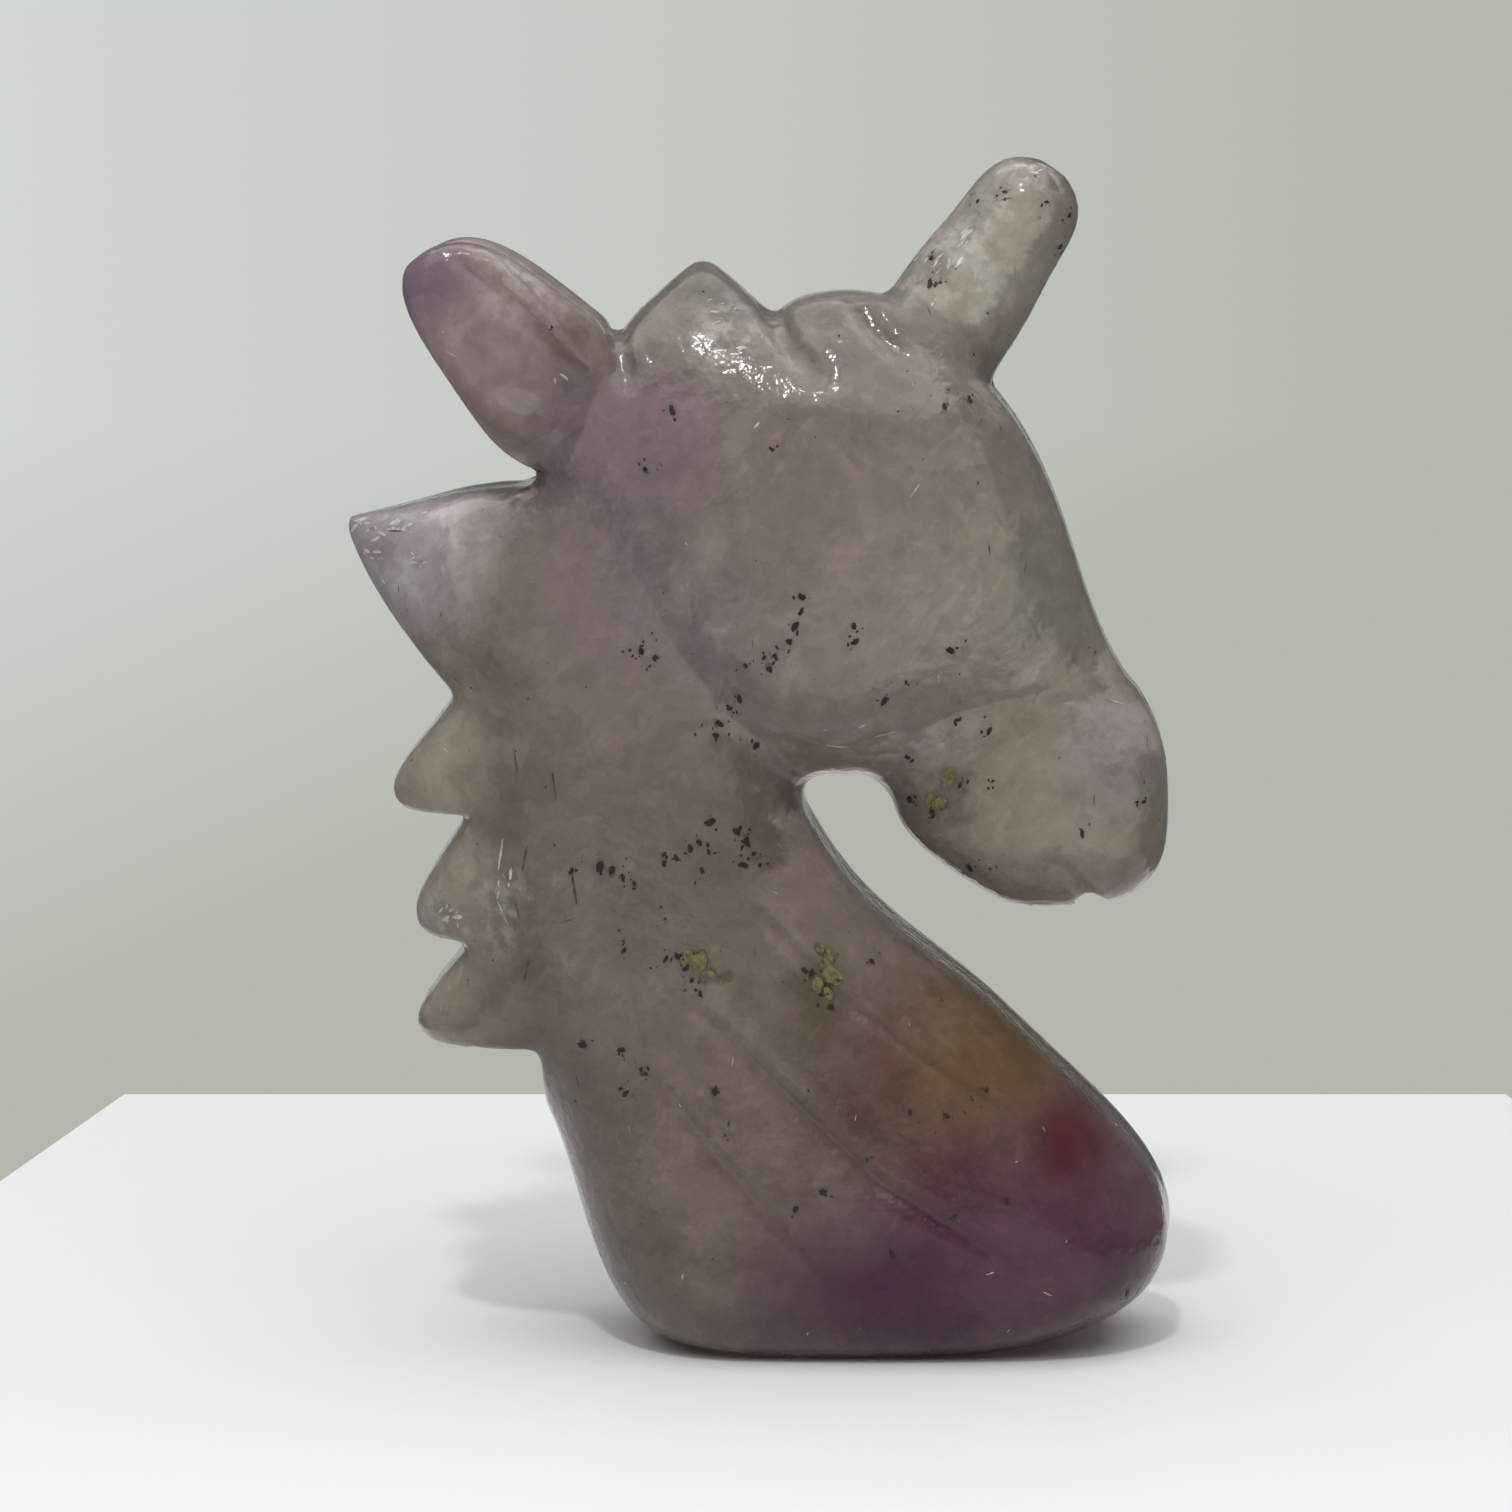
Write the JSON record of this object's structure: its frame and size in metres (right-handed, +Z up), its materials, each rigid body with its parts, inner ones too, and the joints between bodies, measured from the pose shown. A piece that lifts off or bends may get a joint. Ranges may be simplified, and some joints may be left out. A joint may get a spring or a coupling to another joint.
{
  "type": "unicorn figurine",
  "caption": "Free-standing unicorn head and neck carved from translucent purple-grey quartz, polished, with a blunt horn, laid-back ears and a notched mane, flat underneath.",
  "frame": {"origin": "middle of the flat face that the figurine rests on", "axes": "+X towards the muzzle, +Y to the unicorn's left, +Z up"},
  "size_m": [0.0622, 0.0252, 0.0895],
  "materials": {
    "quartz": "polished"
  },
  "bodies": {
    "root": {"neck_and_base": "quartz", "head": "quartz", "muzzle": "quartz", "horn": "quartz", "right_ear": "quartz", "left_ear": "quartz", "poll_tuft": "quartz", "brow_tuft": "quartz", "mane_lock_top": "quartz", "mane_lock_upper": "quartz", "mane_lock_middle": "quartz", "mane_lock_lower": "quartz"}
  },
  "joints": []
}
